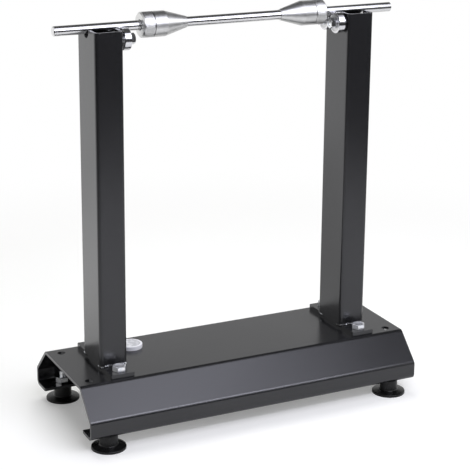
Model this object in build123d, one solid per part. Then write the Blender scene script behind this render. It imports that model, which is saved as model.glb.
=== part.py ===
from build123d import *

import math
import os

# Motorcycle wheel balancer: a folded base tray on four levelling feet, two square posts that each carry
# a pair of ball bearings, and a ground rod with two sliding centring cones lying on the bearings.
# All sizes are in millimetres. X runs along the base, Y to the back, Z up; the origin is on the bench
# under the middle of the base.

# Fits shared by the whole stand
cut_overrun = 1.0
running_play = 0.05
seat_gap = 0.3
bolt_play = 0.25

# Base tray, one folded sheet
base_beyond_post = 48.0
sheet_thickness = 3.0
top_width = 106.0
skirt_width = 164.0
slope_drop = 28.8
skirt_height = 19.2
lip_width = 25.0
bend_inside_radius = 3.0
tray_corner_radius = 1.5
bench_hole_radius = 4.2
bench_hole_from_end = 14.0
bench_hole_from_edge = 12.0

# Levelling feet
foot_clear_height = 16.0
foot_from_end = 24.0
foot_from_skirt = 14.0
pad_radius = 18.0
pad_rim_height = 2.4
pad_crown_height = 4.0
pad_edge_round = 0.8
pad_recess_radius = 13.5
pad_recess_depth = 1.0
hub_radius = 9.5
hub_root_round = 1.2
hub_top_round = 0.8
stud_embedded = 11.0
stud_above_nut = 7.0
stud_point = 1.0

# Posts
post_centres = 284.0
post_width = 30.0
post_depth = 50.0
post_wall = 2.5
post_outer_round = 4.0
post_tube_length = 348.0
notch_width = 13.0
notch_depth = 8.5

# Post foot plates; a bolt stands a share of the way from the post to the fold of the tray
plate_width = 26.0
plate_from_edge = 3.5
plate_thickness = 5.0
plate_corner_round = 1.5
plate_bolt_share = 0.65

# Eight millimetre screws, nuts and washers
large_thread_radius = 4.0
large_hex_width = 13.0
large_head_height = 5.3
large_nut_height = 6.5
large_washer_radius = 8.0
large_washer_thickness = 1.6
large_thread_runout = 3.9

# Six millimetre screws, nuts and washers
small_thread_radius = 3.0
small_hex_width = 10.0
small_head_height = 4.0
small_nut_height = 5.0
small_washer_radius = 5.4
small_washer_thickness = 1.5
small_spacer_radius = 5.2
small_spacer_length = 2.7
small_thread_recess = 0.5

# A hexagon's flat end face, as a share of the width across its flats
hex_face_share = 0.95
hex_chamfer_degrees = 30.0

# Bearings
bearing_radius = 11.0
bearing_bore_radius = 3.0
bearing_width = 7.0
bearing_gap = 2.0
bearing_edge_round = 0.4
inner_ring_shoulder_radius = 5.3
outer_ring_shoulder_radius = 8.7
ball_radius = 1.98
ball_count = 7
shield_thickness = 0.4
shield_recess = 0.3
shield_seat_depth = 0.4
cage_wall = 1.2
cage_back = 2.6
cage_front = 1.1

# Balancing rod
rod_radius = 5.0
rod_beyond_post = 49.5
rod_end_chamfer = 0.8
rod_above_post = 0.5
rod_roller_play = 0.1

# Centring cones with their locking rings and collets
cone_radius = 13.0
cone_tip_radius = 5.7
cone_taper_length = 25.0
cone_body_length = 13.0
cone_edge_round = 1.0
cone_groove = 0.5
ring_length = 12.5
ring_cap_thickness = 2.5
ring_chamfer = 1.4
ring_bore_play = 0.5
spigot_radius = 9.0
spigot_end_gap = 0.6
collet_mouth_radius = 7.8
collet_throat_radius = 6.4
collet_length = 9.0
collet_slit = 1.0
left_ring_from_nuts = 10.8
right_ring_from_nuts = 2.3

# Round spirit level
level_radius = 12.5
level_height = 4.4
level_rim = 2.2
level_floor = 1.2
level_edge_round = 0.6
level_lens_thickness = 1.0
level_bubble_radius = 2.6
level_bubble_depth = 0.8
level_from_post = 39.6
level_from_front_edge = 79.6

# Levels and places that follow from the sizes above
base_length = post_centres + 2 * base_beyond_post
rod_length = post_centres + 2 * rod_beyond_post
lip_level = foot_clear_height
knee_level = lip_level + skirt_height
top_level = knee_level + slope_drop
plate_level = top_level + plate_thickness
post_top_level = plate_level + post_tube_length
rod_level = post_top_level + rod_above_post
bearing_spacing = 2 * bearing_radius + bearing_gap
roller_reach = bearing_radius + rod_radius + rod_roller_play
bearing_level = rod_level - math.sqrt(roller_reach**2 - (bearing_spacing / 2) ** 2)
post_face = post_centres / 2 - post_width / 2
bearing_back_face = post_face - small_spacer_length
bearing_front_face = bearing_back_face - bearing_width
nut_front_face = bearing_front_face - small_washer_thickness - small_nut_height
ball_pitch_radius = (inner_ring_shoulder_radius + outer_ring_shoulder_radius) / 2
foot_x = base_length / 2 - foot_from_end
foot_y = skirt_width / 2 - foot_from_skirt
bench_hole_x = base_length / 2 - bench_hole_from_end
bench_hole_y = top_width / 2 - bench_hole_from_edge
hub_top = lip_level - seat_gap
nut_seat_level = lip_level + sheet_thickness
fold_angle = math.atan2(slope_drop, (skirt_width - top_width) / 2)
fold_starts = top_width / 2 - (bend_inside_radius + sheet_thickness) * math.tan(fold_angle / 2)
nearest_bolt = post_depth / 2 + large_hex_width / math.sqrt(3)
furthest_bolt = fold_starts - large_washer_radius
plate_bolt_y = nearest_bolt + plate_bolt_share * (furthest_bolt - nearest_bolt)
plate_length = top_width - 2 * plate_from_edge

sides = {"left": -1, "right": 1}
rows = {"front": -1, "rear": 1}


def disc(radius, low, high):
    """A round bar on the Z axis between two heights."""
    return Pos(0, 0, low) * Cylinder(radius, high - low, align=(Align.CENTER, Align.CENTER, Align.MIN))


def tube(outer, inner, low, high):
    """A round tube on the Z axis between two heights."""
    return disc(outer, low, high) - disc(inner, low - cut_overrun, high + cut_overrun)


def hexagon(width, height, chamfered_both=False):
    """A hexagonal head or nut standing on the XY plane, its corners turned off at the top."""
    corner_radius = width / math.sqrt(3)
    face_radius = width / 2 * hex_face_share
    side = corner_radius - face_radius
    turned = Cylinder(corner_radius, height, align=(Align.CENTER, Align.CENTER, Align.MIN))
    edges = turned.edges().filter_by(GeomType.CIRCLE).sort_by(Axis.Z)
    chosen = edges if chamfered_both else edges[-1:]
    turned = chamfer(chosen, side * math.tan(math.radians(hex_chamfer_degrees)), side)
    prism = extrude(RegularPolygon(corner_radius, 6), height)
    return prism & turned


def across(side, place, solid):
    """Stands a piece that was made on the Z axis along X, pointing from a post to the middle."""
    turn = -side * 90
    return Pos(*place) * Rot(0, turn, 0) * solid


def base_tray():
    half_top = top_width / 2
    half_skirt = skirt_width / 2
    half_gap = half_skirt - lip_width
    outline = [
        (half_gap, lip_level),
        (half_skirt, lip_level),
        (half_skirt, knee_level),
        (half_top, top_level),
        (-half_top, top_level),
        (-half_skirt, knee_level),
        (-half_skirt, lip_level),
        (-half_gap, lip_level),
    ]
    skin = FilletPolyline(*outline, radius=bend_inside_radius + sheet_thickness)
    section = make_face(offset(skin, amount=sheet_thickness, side=Side.LEFT).edges())
    tray = extrude(Plane.YZ * section, base_length / 2, both=True)
    lip_corners = tray.edges().filter_by(Axis.Z).filter_by(lambda e: abs(abs(e.center().Y) - half_gap) < running_play)
    tray = fillet(lip_corners, tray_corner_radius)
    drill_from = top_level - sheet_thickness - cut_overrun
    drill_to = top_level + cut_overrun
    for spot in GridLocations(2 * bench_hole_x, 2 * bench_hole_y, 2, 2):
        tray -= spot * disc(bench_hole_radius, drill_from, drill_to)
    for spot in GridLocations(post_centres, 2 * plate_bolt_y, 2, 2):
        tray -= spot * disc(large_thread_radius + bolt_play, drill_from, drill_to)
    for spot in GridLocations(2 * foot_x, 2 * foot_y, 2, 2):
        tray -= spot * disc(large_thread_radius + bolt_play, lip_level - cut_overrun, nut_seat_level + cut_overrun)
    return tray


def post(side):
    """A rectangular tube, open at the top, with a slot in both wide walls where the rod passes."""
    outer = RectangleRounded(post_width, post_depth, post_outer_round)
    inner_round = post_outer_round - post_wall
    inner = RectangleRounded(post_width - 2 * post_wall, post_depth - 2 * post_wall, inner_round)
    body = extrude(outer - inner, post_tube_length)
    floor = post_tube_length - notch_depth
    slot_round = Pos(0, 0, floor + notch_width / 2) * Rot(0, 90, 0)
    slot = slot_round * Cylinder(notch_width / 2, post_width + 2 * cut_overrun)
    slot_box = Box(
        post_width + 2 * cut_overrun,
        notch_width,
        notch_depth - notch_width / 2 + cut_overrun,
        align=(Align.CENTER, Align.CENTER, Align.MIN),
    )
    body -= slot + Pos(0, 0, floor + notch_width / 2) * slot_box
    drill = Rot(0, 90, 0) * Cylinder(small_thread_radius + bolt_play, post_wall + 2 * cut_overrun)
    wall_middle = -side * (post_width / 2 - post_wall / 2)
    for row in rows.values():
        body -= Pos(wall_middle, row * bearing_spacing / 2, bearing_level - plate_level) * drill
    return Pos(side * post_centres / 2, 0, plate_level) * body


def foot_plate(side):
    plate = extrude(RectangleRounded(plate_width, plate_length, plate_corner_round), plate_thickness)
    for spot in GridLocations(0, 2 * plate_bolt_y, 1, 2):
        plate -= spot * disc(large_thread_radius + bolt_play, -cut_overrun, plate_thickness + cut_overrun)
    return Pos(side * post_centres / 2, 0, top_level) * plate


def plate_bolt():
    """A hexagon bolt through the plate and the tray, standing with its head seat on the XY plane."""
    grip = plate_thickness + sheet_thickness + large_washer_thickness
    length = grip + large_nut_height + large_thread_runout
    shank = disc(large_thread_radius, -length, 0)
    shank = chamfer(shank.edges().filter_by(GeomType.CIRCLE).sort_by(Axis.Z)[:1], stud_point)
    return hexagon(large_hex_width, large_head_height) + shank


def plate_nut():
    bore = disc(large_thread_radius + running_play, -cut_overrun, large_nut_height + cut_overrun)
    return hexagon(large_hex_width, large_nut_height, chamfered_both=True) - bore


def plate_washer():
    return tube(large_washer_radius, large_thread_radius + bolt_play, 0, large_washer_thickness)


def at_plate_bolts(side, level, solid):
    return [Pos(side * post_centres / 2, row * plate_bolt_y, level) * solid for row in rows.values()]


def pad(x, y):
    """A moulded foot: a wide thin flange with a hub that takes the stud."""
    sketch = make_face(
        Polyline(
            (0, pad_recess_depth),
            (pad_recess_radius, pad_recess_depth),
            (pad_recess_radius, 0),
            (pad_radius, 0),
            (pad_radius, pad_rim_height),
            (hub_radius, pad_crown_height),
            (hub_radius, hub_top),
            (0, hub_top),
            close=True,
        )
    )
    corners = sketch.vertices()
    root = corners.sort_by_distance((hub_radius, pad_crown_height, 0))[:1]
    sketch = fillet(root, hub_root_round)
    shoulder = sketch.vertices().sort_by_distance((hub_radius, hub_top, 0))[:1]
    sketch = fillet(shoulder, hub_top_round)
    rim = sketch.vertices().sort_by_distance((pad_radius, pad_rim_height, 0))[:1]
    sketch = fillet(rim, pad_edge_round)
    body = revolve(Plane.XZ * sketch, Axis.Z)
    body -= disc(large_thread_radius, hub_top - stud_embedded, hub_top + cut_overrun)
    return Pos(x, y, 0) * body


def stud(x, y):
    top = nut_seat_level + large_nut_height + stud_above_nut
    body = disc(large_thread_radius, hub_top - stud_embedded, top)
    body = chamfer(body.edges().filter_by(GeomType.CIRCLE).sort_by(Axis.Z)[-1:], stud_point)
    return Pos(x, y, 0) * body


def foot_nuts():
    return [spot * Pos(0, 0, nut_seat_level) * plate_nut() for spot in GridLocations(2 * foot_x, 2 * foot_y, 2, 2)]


def ball_spots():
    return [Rot(0, 0, 360 / ball_count * i) * Pos(ball_pitch_radius, 0, 0) for i in range(ball_count)]


def race_groove():
    return Torus(ball_pitch_radius, ball_radius + running_play)


def outer_ring():
    half = bearing_width / 2
    seat = half - shield_recess - shield_thickness
    ring = disc(bearing_radius, -half, half)
    ring = fillet(ring.edges().filter_by(GeomType.CIRCLE), bearing_edge_round)
    ring -= disc(outer_ring_shoulder_radius, -half - cut_overrun, half + cut_overrun)
    pocket = disc(outer_ring_shoulder_radius + shield_seat_depth, seat, half + cut_overrun)
    return ring - race_groove() - pocket - Rot(180, 0, 0) * pocket


def inner_ring():
    half = bearing_width / 2
    bore = bearing_bore_radius + running_play
    return tube(inner_ring_shoulder_radius, bore, -half, half) - race_groove()


def ball_cage():
    """Seven balls in a crown cage that is open on one side."""
    wall_inner = ball_pitch_radius - cage_wall / 2
    cage = tube(ball_pitch_radius + cage_wall / 2, wall_inner, -cage_front, cage_back)
    for spot in ball_spots():
        cage -= spot * Sphere(ball_radius + running_play)
    return [cage] + [spot * Sphere(ball_radius) for spot in ball_spots()]


def shields():
    half = bearing_width / 2
    outer = outer_ring_shoulder_radius + shield_seat_depth
    inner = inner_ring_shoulder_radius + seat_gap
    shield = tube(outer, inner, half - shield_recess - shield_thickness, half - shield_recess)
    return [shield, Rot(180, 0, 0) * shield]


def bearing_place(side, row, x):
    return (side * x, row * bearing_spacing / 2, bearing_level)


def in_bearing(side, row, solids):
    middle = (bearing_back_face + bearing_front_face) / 2
    return [across(side, bearing_place(side, row, middle), solid) for solid in solids]


def bearing_bolt(side, row):
    """A hexagon bolt put through the post wall from inside the tube."""
    length = post_wall + small_spacer_length + bearing_width + small_washer_thickness
    reach = length + small_nut_height - small_thread_recess
    head = Rot(180, 0, 0) * hexagon(small_hex_width, small_head_height)
    bolt = head + disc(small_thread_radius, 0, reach)
    return across(side, bearing_place(side, row, post_face + post_wall), bolt)


def bearing_spacer(side, row):
    spacer = tube(small_spacer_radius, small_thread_radius + running_play, 0, small_spacer_length)
    return across(side, bearing_place(side, row, post_face), spacer)


def bearing_washer(side, row):
    washer = tube(small_washer_radius, small_thread_radius + running_play, 0, small_washer_thickness)
    return across(side, bearing_place(side, row, bearing_front_face), washer)


def bearing_nut(side, row):
    nut = hexagon(small_hex_width, small_nut_height)
    nut -= disc(small_thread_radius + running_play, -cut_overrun, small_nut_height + cut_overrun)
    return across(side, bearing_place(side, row, bearing_front_face - small_washer_thickness), nut)


def rod():
    bar = Cylinder(rod_radius, rod_length)
    bar = chamfer(bar.edges().filter_by(GeomType.CIRCLE), rod_end_chamfer)
    return Pos(0, 0, rod_level) * Rot(0, 90, 0) * bar


# The cone's own Z axis runs from the outer face of the locking ring, at zero, to the tip
cone_back = ring_length + cone_groove
cone_shoulder = cone_back + cone_body_length
cone_length = cone_shoulder + cone_taper_length
spigot_end = ring_cap_thickness + spigot_end_gap
collet_back = ring_cap_thickness + seat_gap
ring_from_nuts = {"left": left_ring_from_nuts, "right": right_ring_from_nuts}


def on_rod(name, solid):
    side = sides[name]
    outer_face = side * (nut_front_face - ring_from_nuts[name])
    return across(side, (outer_face, 0, rod_level), solid)


def cone_pocket(play):
    """The tapered seat of the collet, wide at the back."""
    taper = (collet_mouth_radius - collet_throat_radius) / collet_length
    mouth = collet_mouth_radius + play + taper * (collet_back - spigot_end + cut_overrun)
    depth = collet_back + collet_length - spigot_end + cut_overrun
    low = spigot_end - cut_overrun
    throat = collet_throat_radius + play
    return Pos(0, 0, low) * Cone(mouth, throat, depth, align=(Align.CENTER, Align.CENTER, Align.MIN))


def cone():
    """The turned cone with the spigot that the locking ring screws onto."""
    profile = make_face(
        Polyline(
            (0, cone_back),
            (cone_radius, cone_back),
            (cone_radius, cone_shoulder),
            (cone_tip_radius, cone_length),
            (0, cone_length),
            close=True,
        )
    )
    body = revolve(Plane.XZ * profile, Axis.Z)
    shoulder = body.edges().filter_by(GeomType.CIRCLE).sort_by_distance((cone_radius, 0, cone_shoulder))[:1]
    body = fillet(shoulder, cone_edge_round)
    body += disc(spigot_radius, spigot_end, cone_back)
    body -= disc(rod_radius + running_play, spigot_end - cut_overrun, cone_length + cut_overrun)
    return body - cone_pocket(running_play)


def lock_ring():
    """The knurled ring: a cap with a hole for the rod and a threaded skirt over the spigot."""
    ring = disc(cone_radius, 0, ring_length)
    ring = chamfer(ring.edges().filter_by(GeomType.CIRCLE).sort_by(Axis.Z)[:1], ring_chamfer)
    ring -= disc(rod_radius + ring_bore_play, -cut_overrun, ring_length + cut_overrun)
    return ring - disc(spigot_radius + running_play, ring_cap_thickness, ring_length + cut_overrun)


def collet():
    """A split sleeve, tapered outside, that grips the rod when the ring drives it into the cone."""
    body = Pos(0, 0, collet_back) * Cone(
        collet_mouth_radius,
        collet_throat_radius,
        collet_length - seat_gap,
        align=(Align.CENTER, Align.CENTER, Align.MIN),
    )
    body -= disc(rod_radius + running_play, 0, cone_back)
    slit = Box(cone_radius, collet_slit, cone_length, align=(Align.MIN, Align.CENTER, Align.MIN))
    return body - slit


level_place = Pos(level_from_post - post_centres / 2, level_from_front_edge - top_width / 2, top_level)


def level_cup():
    cup = disc(level_radius, 0, level_height)
    cup = fillet(cup.edges().filter_by(GeomType.CIRCLE).sort_by(Axis.Z)[-1:], level_edge_round)
    return level_place * (cup - disc(level_radius - level_rim, level_floor, level_height + cut_overrun))


def level_lens():
    low = level_height - level_lens_thickness - seat_gap
    return level_place * disc(level_radius - level_rim, low, low + level_lens_thickness)


def level_fluid():
    high = level_height - level_lens_thickness - seat_gap
    fluid = disc(level_radius - level_rim, level_floor, high)
    return level_place * (fluid - disc(level_bubble_radius, high - level_bubble_depth, high + cut_overrun))


def pieces():
    """Every node of the stand by name, each a solid or a list of alike solids."""
    made = {"base_tray": base_tray(), "foot_nuts": foot_nuts(), "rod": rod()}
    made["level_cup"] = level_cup()
    made["level_lens"] = level_lens()
    made["level_fluid"] = level_fluid()
    for name, side in sides.items():
        made[f"{name}_post"] = post(side)
        made[f"{name}_foot_plate"] = foot_plate(side)
        made[f"{name}_plate_bolts"] = at_plate_bolts(side, plate_level, plate_bolt())
        under = top_level - sheet_thickness - large_washer_thickness
        made[f"{name}_plate_washers"] = at_plate_bolts(side, under, plate_washer())
        made[f"{name}_plate_nuts"] = at_plate_bolts(side, under - large_nut_height, plate_nut())
        made[f"{name}_bearing_bolts"] = [bearing_bolt(side, row) for row in rows.values()]
        made[f"{name}_bearing_spacers"] = [bearing_spacer(side, row) for row in rows.values()]
        made[f"{name}_bearing_washers"] = [bearing_washer(side, row) for row in rows.values()]
        made[f"{name}_bearing_nuts"] = [bearing_nut(side, row) for row in rows.values()]
        made[f"{name}_cone"] = on_rod(name, cone())
        made[f"{name}_lock_ring"] = on_rod(name, lock_ring())
        made[f"{name}_collet"] = on_rod(name, collet())
        for row_name, row in rows.items():
            place = f"{name}_{row_name}"
            made[f"{place}_outer_ring"] = in_bearing(side, row, [outer_ring()])
            made[f"{place}_inner_ring"] = in_bearing(side, row, [inner_ring()])
            made[f"{place}_ball_cage"] = in_bearing(side, row, ball_cage())
            made[f"{place}_shields"] = in_bearing(side, row, shields())
            made[f"{place}_foot_pad"] = pad(side * foot_x, row * foot_y)
            made[f"{place}_foot_stud"] = stud(side * foot_x, row * foot_y)
    return made


os.makedirs("parts", exist_ok=True)
for node, solids in pieces().items():
    shape = Compound(children=solids) if isinstance(solids, list) else solids
    export_step(shape, f"parts/{node}.step")
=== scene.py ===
import math

import bpy
from mathutils import Matrix, Vector


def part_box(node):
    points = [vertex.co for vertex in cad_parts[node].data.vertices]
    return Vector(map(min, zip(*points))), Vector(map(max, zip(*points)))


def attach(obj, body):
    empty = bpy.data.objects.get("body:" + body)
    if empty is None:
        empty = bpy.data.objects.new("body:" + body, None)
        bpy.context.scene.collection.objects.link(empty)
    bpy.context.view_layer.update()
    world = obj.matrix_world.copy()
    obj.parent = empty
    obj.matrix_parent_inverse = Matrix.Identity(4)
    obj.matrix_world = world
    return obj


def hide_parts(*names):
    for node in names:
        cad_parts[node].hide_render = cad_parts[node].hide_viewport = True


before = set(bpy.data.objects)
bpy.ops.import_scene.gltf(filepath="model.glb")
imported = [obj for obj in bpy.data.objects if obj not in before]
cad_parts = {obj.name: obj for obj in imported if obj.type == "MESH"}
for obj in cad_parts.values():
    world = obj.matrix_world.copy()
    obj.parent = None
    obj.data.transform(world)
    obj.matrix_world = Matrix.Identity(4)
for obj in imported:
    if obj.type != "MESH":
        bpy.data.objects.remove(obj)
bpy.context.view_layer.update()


# Base tray: one sheet of 3 mm steel, laser cut and folded six times, with drilled corners.
# It is powder coated satin black in one go, so every face carries the same fine orange peel.

coat_dark = (0.0092, 0.0092, 0.0098)
coat_light = (0.0112, 0.0112, 0.0120)
coat_sheen = (0.96, 0.965, 1.0, 1)
coat_roughness = 0.23
coat_index = 1.61
peel_height = 6e-6
grain_height = 2.2e-6


class Value:
    """A socket written in sums: each operator adds the Math node that it stands for."""

    def __init__(self, finish, socket):
        self.finish = finish
        self.socket = socket

    def math(self, operation, *others):
        return self.finish.node("ShaderNodeMath", {"operation": operation}, dict(enumerate((self, *others))))

    def __add__(self, other):
        return self.math("ADD", other)

    def __sub__(self, other):
        return self.math("SUBTRACT", other)

    def __rsub__(self, other):
        return self.finish.node("ShaderNodeMath", {"operation": "SUBTRACT"}, {0: other, 1: self})

    def __mul__(self, other):
        return self.math("MULTIPLY", other)

    __radd__ = __add__
    __rmul__ = __mul__


class Finish:
    """A node tree under construction, for a surface or for the air around it."""

    def __init__(self, tree):
        self.tree = tree
        tree.nodes.clear()

    def node(self, kind, settings, inputs, output=0):
        made = self.tree.nodes.new(kind)
        for name, value in settings.items():
            setattr(made, name, value)
        for name, value in inputs.items():
            if isinstance(value, Value):
                self.tree.links.new(value.socket, made.inputs[name])
            else:
                made.inputs[name].default_value = value
        return Value(self, made.outputs[output]) if made.outputs else None

    def place(self):
        """The place on the object, in metres, in the frame it was built in."""
        return self.node("ShaderNodeTexCoord", {}, {}, "Object")

    def part(self, vector, axis):
        return self.node("ShaderNodeSeparateXYZ", {}, {0: vector}, axis)

    def stretched(self, along, across):
        """The place with fine steps along the rod's axis and coarse ones across it, in steps per metre."""
        scale = (along, across, across)
        return self.node("ShaderNodeVectorMath", {"operation": "MULTIPLY"}, {0: self.place(), 1: scale})

    def cloud(self, scale, detail=2.0, vector=None):
        inputs = {"Vector": vector or self.place(), "Scale": scale, "Detail": detail}
        return self.node("ShaderNodeTexNoise", {}, inputs, "Fac")

    def ease(self, value, low, high):
        settings = {"interpolation_type": "SMOOTHSTEP"}
        return self.node("ShaderNodeMapRange", settings, {"Value": value, "From Min": low, "From Max": high})

    def tint(self, factor, first, second):
        """Two colours mixed; the sockets of a colour mix are numbers 6 and 7, and its result number 2."""
        inputs = {0: factor, 6: (*first, 1), 7: (*second, 1)}
        return self.node("ShaderNodeMix", {"data_type": "RGBA"}, inputs, 2)

    def raised(self, height):
        """The normal of a surface with that height on it, in metres."""
        return self.node("ShaderNodeBump", {}, {"Strength": 1.0, "Distance": 1.0, "Height": height})

    def surface(self, **inputs):
        shader = self.node("ShaderNodeBsdfPrincipled", {}, inputs)
        self.node("ShaderNodeOutputMaterial", {}, {"Surface": shader})


def new_finish(name):
    material = bpy.data.materials.new(name)
    material.use_nodes = True
    return material, Finish(material.node_tree)


def dress(material, *names):
    """Gives CAD solids their finish and leaves their shapes as they are."""
    for name in names:
        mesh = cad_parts[name].data
        mesh.materials.clear()
        mesh.materials.append(material)


black_coat, coat = new_finish("satin_black_powder_coat")
peel = coat.cloud(520.0, 1.0)
grain = coat.cloud(2600.0, 2.0)
handled = coat.cloud(16.0, 2.0)
coat.surface(**{
    "Base Color": coat.tint(handled, coat_dark, coat_light),
    "Roughness": coat_roughness + 0.06 * (handled - 0.5) + 0.03 * grain,
    "IOR": coat_index,
    "Specular Tint": coat_sheen,
    "Normal": coat.raised(peel_height * peel + grain_height * grain),
})
dress(black_coat, "base_tray")


# Posts and their foot plates: rectangular steel tube, notched at the top for the rod, welded onto a
# flat bar that is screwed down on the tray. A bead of weld runs along the front and the back of each
# post's foot and a little way round both corners, and is coated over with bare spots left in it.

mm = 0.001
sides = {"left": -1, "right": 1}
rows = {"front": -1, "rear": 1}
bead_radius = 1.8 * mm
bead_step = 0.25 * mm
bead_end_share = 0.55
bead_end_growth = 0.09
bead_beside_plate = 0.5 * mm
bead_corner = ((0, -9, -0.9), (0, -1.5, -0.7), (2, 0.4, 0.3))    # mm inward, outward and up from a corner
ripple_pitch = 1.5 * mm
ripple_share = 0.16
weld_paint = (0.013, 0.013, 0.0135)
weld_bare = (0.62, 0.63, 0.66)
weld_pitting = 2e-5

painted_weld, bead_coat = new_finish("powder_coat_over_weld")
bare = bead_coat.ease(bead_coat.cloud(330.0, 3.0), 0.53, 0.60)
bead_coat.surface(**{
    "Base Color": bead_coat.tint(bare, weld_paint, weld_bare),
    "Metallic": bare,
    "Roughness": 0.16 + 0.10 * bead_coat.cloud(900.0, 2.0),
    "Normal": bead_coat.raised(weld_pitting * bead_coat.cloud(1500.0, 2.0)),
})


def weld_bead(name, corners):
    """A rippled bead along a line through the corners, thinner towards both ends."""
    points = []
    for start, end in zip(corners, corners[1:]):
        steps = max(1, round((end - start).length / bead_step))
        points += [start.lerp(end, i / steps) for i in range(steps)]
    points.append(corners[-1])
    curve = bpy.data.curves.new(name, "CURVE")
    curve.dimensions = "3D"
    curve.bevel_depth = bead_radius
    curve.bevel_resolution = 4
    curve.use_fill_caps = True
    spline = curve.splines.new("POLY")
    spline.points.add(len(points) - 1)
    for i, (point, place) in enumerate(zip(spline.points, points)):
        ripple = abs(math.sin(math.pi * i * bead_step / ripple_pitch))
        end_share = min(1.0, bead_end_share + min(i, len(points) - 1 - i) * bead_end_growth)
        point.co = (*place, 1)
        point.radius = end_share * (1 - ripple_share + ripple_share * ripple)
    source = bpy.data.objects.new(name, curve)
    mesh = bpy.data.meshes.new_from_object(source)
    bpy.data.objects.remove(source)
    mesh.shade_smooth()
    mesh.materials.append(painted_weld)
    bead = bpy.data.objects.new(name, mesh)
    bpy.context.scene.collection.objects.link(bead)
    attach(bead, "stand")


plate_low, plate_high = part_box("left_foot_plate")
for side in sides:
    dress(black_coat, f"{side}_post", f"{side}_foot_plate")
    post_low, post_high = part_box(f"{side}_post")
    middle = (post_low.x + post_high.x) / 2
    half = (plate_high.x - plate_low.x) / 2 + bead_beside_plate
    for row, row_sign in rows.items():
        left_end, right_end = (
            [
                Vector((
                    middle + way * (half - inward * mm),
                    row_sign * (post_high.y + outward * mm),
                    post_low.z + up * mm,
                ))
                for inward, outward, up in bead_corner
            ]
            for way in (-1, 1)
        )
        weld_bead(f"{side}_{row}_weld", left_end + right_end[::-1])


# Bolts, washers and nuts of the posts: cold formed M8 hexagon fasteners with rolled threads, bright
# zinc plated. Two bolts hold each foot plate down on the tray; their washers and nuts are under it.

coarse_pitch = 1.25 * mm
coarse_radius = 4.0 * mm
thread_rows = 8
thread_depth = 0.6      # of the pitch
thread_root = 0.25      # of half the pitch
thread_flank = 0.62     # of half the pitch
turn_steps = 48
sharp_angle = math.radians(32)
head_across = 13.0 * mm
head_height = 5.3 * mm
head_face = head_across / 2 * 0.95
head_chamfer = math.radians(30)
head_dish = ((4.8, 0), (4.2, 0.35), (2.0, 0.45))    # radius and depth of the stamped dish, in mm
washer_face = head_face - 0.2 * mm
washer_face_height = 0.3 * mm
neck_round = 0.3 * mm
shank_edge = 0.4 * mm
bolt_point = 1.0 * mm
plate_grip = 9.4 * mm
zinc_blue = (0.78, 0.80, 0.84)
zinc_white = (0.93, 0.93, 0.92)


def lathe(name, rings, steps, places, closed=False):
    """Alike pieces with their own Z axis as axis, one at each place, in one mesh.

    A ring gives its radius and its height at an angle. A closed piece is hollow along its axis, and
    any other ends in a flat centre at both ends.
    """
    verts = []
    faces = []
    for place in places:
        first = len(verts)
        for ring in rings:
            for i in range(steps):
                angle = 2 * math.pi * i / steps
                radius, height = ring(angle)
                verts.append(place @ Vector((radius * math.cos(angle), radius * math.sin(angle), height)))
        for row in range(len(rings) if closed else len(rings) - 1):
            low = first + row * steps
            high = first + (row + 1) % len(rings) * steps
            for i in range(steps):
                j = (i + 1) % steps
                faces.append((low + i, low + j, high + j, high + i))
        for row in () if closed else (0, len(rings) - 1):
            verts.append(place @ Vector((0, 0, rings[row](0)[1])))
            start = first + row * steps
            for i in range(steps):
                pair = (start + i, start + (i + 1) % steps)
                faces.append((len(verts) - 1, *(pair if row else reversed(pair))))
    mesh = bpy.data.meshes.new(name)
    mesh.from_pydata(verts, [], faces)
    mesh.shade_smooth()
    mesh.set_sharp_from_angle(angle=sharp_angle)
    piece = bpy.data.objects.new(name, mesh)
    bpy.context.scene.collection.objects.link(piece)
    return piece


def flat_ring(radius, height):
    return lambda angle: (radius, height)


def hexagon_ring(across, height, face_radius=None):
    """The edge of a hexagon; where a face is turned on it, its corners drop below that face."""
    def at(angle):
        radius = across / 2 / math.cos(angle % (math.pi / 3) - math.pi / 6)
        drop = max(0.0, radius - face_radius) * math.tan(head_chamfer) if face_radius else 0.0
        return radius, height - drop
    return at


def thread(low, high, low_point, high_point):
    """Rings of a rolled right-hand thread between two heights, turned to a point at its ends."""
    depth = thread_depth * coarse_pitch

    def ring(height):
        def at(angle):
            turn = (height / coarse_pitch - angle / (2 * math.pi)) % 1.0
            flank = min(1.0, max(0.0, (abs(2 * turn - 1) - thread_root) / thread_flank))
            limit = coarse_radius - max(0.0, low_point - (height - low), high_point - (high - height))
            return min(limit, coarse_radius - depth + depth * flank), height
        return at

    count = round((high - low) / coarse_pitch * thread_rows)
    return [ring(low + (high - low) * i / count) for i in range(count + 1)]


def zinc_plate(name, metallic, roughness, flaw):
    material, plate = new_finish(name)
    blush = plate.ease(plate.cloud(260.0, 3.0), 0.35, 0.7)
    spangle = plate.cloud(1300.0, 3.0)
    plate.surface(**{
        "Base Color": plate.tint(blush, zinc_blue, zinc_white),
        "Metallic": metallic,
        "Roughness": roughness + 0.20 * spangle,
        "Normal": plate.raised(flaw * plate.cloud(420.0, 2.0) + 0.2 * flaw * spangle),
    })
    return material


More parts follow.
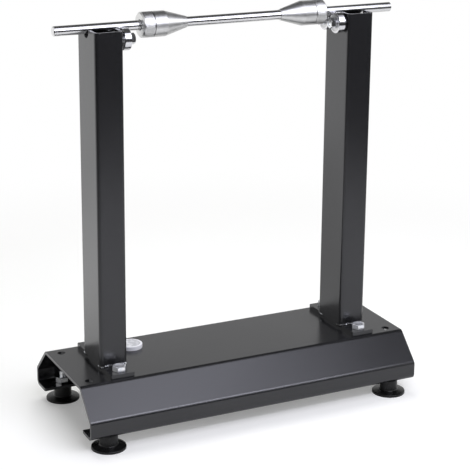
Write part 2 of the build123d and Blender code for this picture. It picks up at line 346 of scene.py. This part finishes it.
zinc = zinc_plate("bright_zinc_plate", metallic=1.0, roughness=0.08, flaw=5e-6)
dull_zinc = zinc_plate("dull_zinc_plate", metallic=0.68, roughness=0.12, flaw=1.2e-5)
for side in sides:
    dress(dull_zinc, f"{side}_plate_washers", f"{side}_plate_nuts")
    low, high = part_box(f"{side}_plate_bolts")
    from_middle = high.y - head_across / 2
    seat = high.z - head_height
    bolts = lathe(
        f"{side}_plate_hexagon_bolts",
        thread(low.z - seat, -plate_grip, bolt_point, 0.0)
        + [
            flat_ring(coarse_radius, -plate_grip + shank_edge),
            flat_ring(coarse_radius, -shank_edge),
            flat_ring(coarse_radius + neck_round, 0),
            flat_ring(washer_face, 0),
            flat_ring(washer_face, washer_face_height),
            hexagon_ring(head_across, washer_face_height),
            hexagon_ring(head_across, head_height, head_face),
            flat_ring(head_face, head_height),
        ]
        + [flat_ring(radius * mm, head_height - depth * mm) for radius, depth in head_dish],
        turn_steps,
        [Matrix.Translation(((low.x + high.x) / 2, sign * from_middle, seat)) for sign in rows.values()],
    )
    bolts.data.materials.append(dull_zinc)
    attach(bolts, "stand")
    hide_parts(f"{side}_plate_bolts")


# Levelling feet: a black moulded pad with a hub, moulded round the lower end of a threaded M8 stud,
# and a zinc plated nut on the lip inside the tray that the stud is screwed through.

plastic_dark = (0.004, 0.004, 0.004)
plastic_light = (0.009, 0.009, 0.009)
stud_point = 1.0 * mm

moulding, plastic = new_finish("black_moulded_plastic")
flow = plastic.cloud(90.0, 4.0)
plastic.surface(**{
    "Base Color": plastic.tint(flow, plastic_dark, plastic_light),
    "Roughness": 0.20 + 0.16 * flow,
    "IOR": 1.38,
    "Normal": plastic.raised(5e-6 * plastic.cloud(1100.0, 2.0)),
})
dress(zinc, "foot_nuts")
for side in sides:
    for row in rows:
        foot = f"{side}_{row}_foot"
        dress(moulding, f"{foot}_pad")
        low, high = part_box(f"{foot}_stud")
        stud = lathe(
            f"{side}_{row}_threaded_stud",
            thread(low.z, high.z, 0.0, stud_point),
            turn_steps,
            [Matrix.Translation(((low.x + high.x) / 2, (low.y + high.y) / 2, 0))],
        )
        stud.data.materials.append(zinc)
        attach(stud, foot)
        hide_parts(f"{foot}_stud")


# Bearings: four 6 x 22 x 7 ball bearings with ground rings and pressed shields, two side by side
# at the top of each post. The rod lies in the groove between their outer rings.

ring_colour = (0.66, 0.66, 0.68, 1)
shield_colour = (0.56, 0.56, 0.57, 1)

ring_steel, ground = new_finish("ground_bearing_steel")
ground.surface(**{
    "Base Color": ring_colour,
    "Metallic": 1.0,
    "Roughness": 0.10 + 0.10 * ground.cloud(1.0, 2.0, ground.stretched(2600.0, 60.0)),
    "Normal": ground.raised(6e-7 * ground.cloud(1.0, 2.0, ground.stretched(5200.0, 90.0))),
})
shield_steel, pressed = new_finish("pressed_shield_steel")
pressed.surface(**{
    "Base Color": shield_colour,
    "Metallic": 1.0,
    "Roughness": 0.26 + 0.14 * pressed.cloud(700.0, 3.0),
    "Normal": pressed.raised(2e-6 * pressed.cloud(900.0, 2.0)),
})
for side in sides:
    for row in rows:
        bearing = f"{side}_{row}"
        dress(ring_steel, f"{bearing}_outer_ring", f"{bearing}_inner_ring", f"{bearing}_ball_cage")
        dress(shield_steel, f"{bearing}_shields")


# Bearing screws: M6 hexagon bolts put through the post wall from inside the tube, each with a spacer,
# a washer and a nut in front of its bearing, all bright zinc plated.

for side in sides:
    for piece in ("bolts", "spacers", "washers", "nuts"):
        dress(zinc, f"{side}_bearing_{piece}")


# Balancing rod: 10 mm bar, centreless ground and hard chromed, with its ends turned off at 45 degrees.
# It isn't fixed to anything, but lies on the bearings at both posts.

chrome_colour = (0.66, 0.66, 0.665, 1)

rod_chrome, chrome = new_finish("hard_chrome")
lines = chrome.cloud(1.0, 2.0, chrome.stretched(3800.0, 50.0))
chrome.surface(**{
    "Base Color": chrome_colour,
    "Metallic": 1.0,
    "Roughness": 0.15 + 0.04 * lines,
    "Normal": chrome.raised(5e-8 * lines),
})
dress(rod_chrome, "rod")


# Centring cones: turned from aluminium bar in one setting, bored for the rod, with fine tool marks.
# A ring with a diamond knurl screws onto the back of each and drives a split collet onto the rod.

knurl_teeth = 72
knurl_steps = 8
knurl_depth = 0.13 * mm
knurl_land = 0.5
knurl_from = 1.9 * mm
knurl_to = 11.9 * mm
knurl_rows = round((knurl_to - knurl_from) / (0.15 * mm))
knurl_run_out = 3
ring_bore = 5.5 * mm
ring_bore_edge = 0.3 * mm
ring_cap = 2.5 * mm
ring_thread = 9.1 * mm
ring_turned_off = 1.4 * mm
ring_inner_edge = 0.2 * mm
aluminium_dark = (0.58, 0.585, 0.585)
aluminium_light = (0.71, 0.71, 0.70)
brass_colour = (0.72, 0.55, 0.28, 1)


def knurled(radius, height, share):
    """A ring of crossed V grooves with flat lands between them, cut to a share of their depth."""
    pitch = 2 * math.pi * radius / knurl_teeth

    def at(angle):
        turns = knurl_teeth * angle / (2 * math.pi)
        grooves = [1 - abs(2 * ((turns + way * height / pitch) % 1.0) - 1) for way in (-1, 1)]
        deepest = max(max(0.0, (1 - groove - knurl_land) / (1 - knurl_land)) for groove in grooves)
        return radius - share * knurl_depth * deepest, height

    return at


def turned_aluminium(name, marks_per_metre, roughness):
    """Bright turned aluminium, whose tool marks are rings about the rod's axis."""
    material, turning = new_finish(name)
    marks = turning.cloud(1.0, 3.0, turning.stretched(marks_per_metre, 30.0))
    feed = turning.cloud(1.0, 2.0, turning.stretched(900.0, 8.0))
    turning.surface(**{
        "Base Color": turning.tint(marks, aluminium_dark, aluminium_light),
        "Metallic": 1.0,
        "Roughness": roughness + 0.16 * (marks - 0.5) + 0.10 * (feed - 0.5),
        "Normal": turning.raised(2.4e-6 * marks + 1.5e-6 * feed),
    })
    return material


aluminium = turned_aluminium("turned_aluminium", marks_per_metre=4200.0, roughness=0.37)
knurled_aluminium = turned_aluminium("knurled_aluminium", marks_per_metre=2600.0, roughness=0.33)
brass, turned_brass = new_finish("turned_brass")
turned_brass.surface(**{
    "Base Color": brass_colour,
    "Metallic": 1.0,
    "Roughness": 0.25 + 0.15 * turned_brass.cloud(1.0, 2.0, turned_brass.stretched(3000.0, 40.0)),
})
for side, sign in sides.items():
    dress(aluminium, f"{side}_cone")
    dress(brass, f"{side}_collet")
    low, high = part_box(f"{side}_lock_ring")
    radius = (high.z - low.z) / 2
    length = high.x - low.x
    rings = [
        flat_ring(ring_bore + ring_bore_edge, 0),
        flat_ring(radius - ring_turned_off, 0),
        flat_ring(radius, ring_turned_off),
    ]
    for i in range(knurl_rows + 1):
        share = min(1.0, i / knurl_run_out, (knurl_rows - i) / knurl_run_out)
        rings.append(knurled(radius, knurl_from + (knurl_to - knurl_from) * i / knurl_rows, share))
    rings += [
        flat_ring(radius, length - ring_inner_edge),
        flat_ring(radius - ring_inner_edge, length),
        flat_ring(ring_thread, length),
        flat_ring(ring_thread, ring_cap),
        flat_ring(ring_bore, ring_cap),
        flat_ring(ring_bore, ring_bore_edge),
    ]
    outer_face = Matrix.Translation((high.x if sign > 0 else low.x, 0, (low.z + high.z) / 2))
    inward = Matrix.Rotation(-sign * math.pi / 2, 4, "Y")
    ring = lathe(f"{side}_knurled_ring", rings, knurl_teeth * knurl_steps, [outer_face @ inward], closed=True)
    ring.data.materials.append(knurled_aluminium)
    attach(ring, f"{side}_lock_ring")
    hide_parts(f"{side}_lock_ring")


# Spirit level: a round white cup set on the top plate, filled with pale liquid that leaves a bubble
# under its clear lid, with a fine grey circle printed on the underside of the lid.

cup_shade, cup_light = (0.74, 0.75, 0.77), (0.82, 0.82, 0.84)
lid_shade, lid_light = (0.74, 0.75, 0.77), (0.86, 0.86, 0.88)
liquid_shade, liquid_light = (0.60, 0.63, 0.64), (0.66, 0.68, 0.69)
ink_dark, ink_light = (0.26, 0.27, 0.28), (0.34, 0.35, 0.36)
circle_radius = 4.4 * mm
circle_width = 0.3 * mm
circle_thickness = 0.03 * mm
circle_above_lid_bottom = 0.05 * mm
circle_steps = 96

cup_white, cup = new_finish("white_moulded_cup")
cup.surface(**{
    "Base Color": cup.tint(cup.cloud(240.0, 3.0), cup_shade, cup_light),
    "Roughness": 0.26 + 0.12 * cup.cloud(400.0, 2.0),
})
clear_lid, lid = new_finish("clear_lid")
ripples = lid.cloud(330.0, 4.0)
lid.surface(**{
    "Base Color": lid.tint(lid.ease(ripples, 0.4, 0.65), lid_shade, lid_light),
    "Roughness": 0.12 + 0.14 * ripples,
    "Alpha": 0.62 + 0.22 * lid.ease(ripples, 0.42, 0.7),
    "Normal": lid.raised(4e-5 * ripples),
})
pale_liquid, liquid = new_finish("pale_liquid")
liquid.surface(**{
    "Base Color": liquid.tint(liquid.cloud(150.0, 2.0), liquid_shade, liquid_light),
    "Roughness": 0.06,
    "Alpha": 0.6,
})
printed_grey, ink = new_finish("printed_grey")
ink.surface(**{
    "Base Color": ink.tint(ink.cloud(3000.0, 2.0), ink_dark, ink_light),
    "Roughness": 0.5,
})
dress(cup_white, "level_cup")
dress(clear_lid, "level_lens")
dress(pale_liquid, "level_fluid")
low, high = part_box("level_lens")
under_lid = Vector(((low.x + high.x) / 2, (low.y + high.y) / 2, low.z + circle_above_lid_bottom))
circle = lathe(
    "level_circle",
    [
        flat_ring(circle_radius, 0),
        flat_ring(circle_radius + circle_width, 0),
        flat_ring(circle_radius + circle_width, circle_thickness),
        flat_ring(circle_radius, circle_thickness),
    ],
    circle_steps,
    [Matrix.Translation(under_lid)],
    closed=True,
)
circle.data.materials.append(printed_grey)
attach(circle, "stand")


# The table: a round white table top that the stand is set down on. The camera sees it fade into the
# white of the room, and bright metal sees it swept up into a white wall at the back.

table_reach = 1.02
table_sides = 96
table_paint = (0.80, 0.80, 0.775, 1)
table_glow = 0.25
mirrored_glow = 0.25
fade_from, fade_to = 0.42, 0.95
back_from, back_to = 0.05, 0.45
right_from, right_to = -0.04, 0.04
wall_bright = 1.36
wall_drop_right = 0.62
white_glow = (1, 1, 1, 1)

table_mesh = bpy.data.meshes.new("table")
table_turns = [2 * math.pi * i / table_sides for i in range(table_sides)]
table_mesh.from_pydata(
    [(table_reach * math.cos(turn), table_reach * math.sin(turn), 0) for turn in table_turns],
    [],
    [tuple(range(table_sides))],
)
table_top = bpy.data.objects.new("table", table_mesh)
bpy.context.scene.collection.objects.link(table_top)
white_table, table = new_finish("white_table")
to_camera = table.node("ShaderNodeLightPath", {}, {}, "Is Camera Ray")
mirrored = table.node("ShaderNodeLightPath", {}, {}, "Is Glossy Ray")
through = table.node("ShaderNodeLightPath", {}, {}, "Is Transmission Ray")
distance = table.node("ShaderNodeVectorMath", {"operation": "LENGTH"}, {0: table.place()}, "Value")
rightward = table.part(table.place(), "X")
backward = table.part(table.place(), "Y")
far_off = table.ease(distance, fade_from, fade_to)
swept_up = table.ease(backward, back_from, back_to)
swept_right = table.ease(rightward + 0.5 * backward, right_from, right_to)
shown = to_camera.math("MAXIMUM", mirrored_glow * mirrored * (1 - far_off)).math("MAXIMUM", through)
paint = table.node("ShaderNodeBsdfDiffuse", {}, {"Color": table_paint})
glow = table.node("ShaderNodeEmission", {}, {"Color": white_glow, "Strength": shown * table_glow})
lit = table.node("ShaderNodeAddShader", {}, {0: paint, 1: glow})
upswept = to_camera.math("MAXIMUM", wall_bright - wall_drop_right * swept_right)
white = table.node("ShaderNodeEmission", {}, {"Color": white_glow, "Strength": upswept})
faded = to_camera * far_off + mirrored * swept_up
seen = table.node("ShaderNodeMixShader", {}, {0: faded, 1: lit, 2: white})
table.node("ShaderNodeOutputMaterial", {}, {"Surface": seen})
table_mesh.materials.append(white_table)


# The room: dark in front and overhead, with a white wall behind that is brighter on the left, a
# bright panel on the right, and a white card on the far left that only shows in gloss.

room_light = 0.04
overhead_light = 0.05
wall_right = 0.78
wall_left = 1.15
panel_light = 1.7

room = bpy.data.worlds.new("room")
bpy.context.scene.world = room
room.use_nodes = True
air = Finish(room.node_tree)
way = air.node("ShaderNodeTexCoord", {}, {}, "Generated")
rightward, backward, upward = (air.part(way, axis) for axis in "XYZ")
in_gloss = air.node("ShaderNodeLightPath", {}, {}, "Is Glossy Ray")
to_camera = air.node("ShaderNodeLightPath", {}, {}, "Is Camera Ray")
behind = air.ease(backward, -0.10, 0.35)
under_ceiling = 1 - air.ease(upward, 0.36, 0.60)
to_the_left = 1 - air.ease(rightward, -0.45, 0.35)
wall = wall_right + (wall_left - wall_right) * to_the_left
overhead = overhead_light * air.ease(upward, 0.3, 0.8)
panel = panel_light * air.ease(rightward, 0.45, 0.72) * air.ease(upward, 0.0, 0.12)
card_span = air.ease(upward, 0.10, 0.22) * (1 - air.ease(upward, 0.66, 0.78))
card = in_gloss * (1 - air.ease(rightward, -0.62, -0.42)) * card_span
round_about = (wall - room_light) * behind * under_ceiling + panel * under_ceiling * (1 - behind)
strength = (room_light + overhead + round_about).math("MAXIMUM", card).math("MAXIMUM", to_camera)
sky = air.node("ShaderNodeBackground", {}, {"Color": white_glow, "Strength": strength})
air.node("ShaderNodeOutputWorld", {}, {"Surface": sky})


# The lamps: a large softbox and a tube over the front of the stand, a small softbox close to the
# rod, and a wide ceiling lamp at the back that isn't mirrored in anything.

daylight = (0.975, 0.98, 1.09)
plain_white = (1, 1, 1)


def lamp(name, width, length, radiance, place, target, colour):
    """An oblong lamp with an even glow, aimed at a place."""
    light = bpy.data.lights.new(name, "AREA")
    light.shape = "RECTANGLE"
    light.size = width
    light.size_y = length
    light.color = colour
    light.energy = math.pi * radiance * width * length
    stand = bpy.data.objects.new(name, light)
    stand.location = place
    stand.rotation_euler = (Vector(place) - Vector(target)).to_track_quat("Z", "Y").to_euler()
    bpy.context.scene.collection.objects.link(stand)
    return stand


lamp("softbox", 1.3, 1.30, 1.85, (0.22, -0.915, 1.145), (0.22, 0.045, 0.07), daylight)
lamp("tube", 1.25, 0.17, 8.0, (0.22, -0.93, 1.00), (0.22, 0, 0.15), daylight)
near_box = lamp("near_softbox", 0.46, 0.17, 0.65, (0.135, -0.238, 0.532), (-0.12, -0.067, 0.05), daylight)
near_box.visible_camera = False
ceiling = lamp("ceiling", 1.4, 1.0, 3.5, (0, 0.60, 1.65), (0, 0, 0.2), plain_white)
ceiling.visible_glossy = False


# The camera stands to the left of the front, higher than the posts, and looks down on the stand
# with a long lens.

camera_place = (-0.6765, -1.3877, 0.6801)
turn_right, look_down, lean = (math.radians(a) for a in (26.25, 16.03, 0.52))

camera = bpy.data.cameras.new("camera")
camera.sensor_width = 36.0
camera.lens = 116.26
camera.shift_y = -0.10
camera.clip_start = 0.05
camera_stand = bpy.data.objects.new("camera", camera)
camera_stand.matrix_world = (
    Matrix.Translation(camera_place)
    @ Matrix.Rotation(-turn_right, 4, "Z")
    @ Matrix.Rotation(math.pi / 2 - look_down, 4, "X")
    @ Matrix.Rotation(lean, 4, "Z")
)
bpy.context.scene.collection.objects.link(camera_stand)
bpy.context.scene.camera = camera_stand
bpy.context.scene.view_settings.view_transform = "Standard"
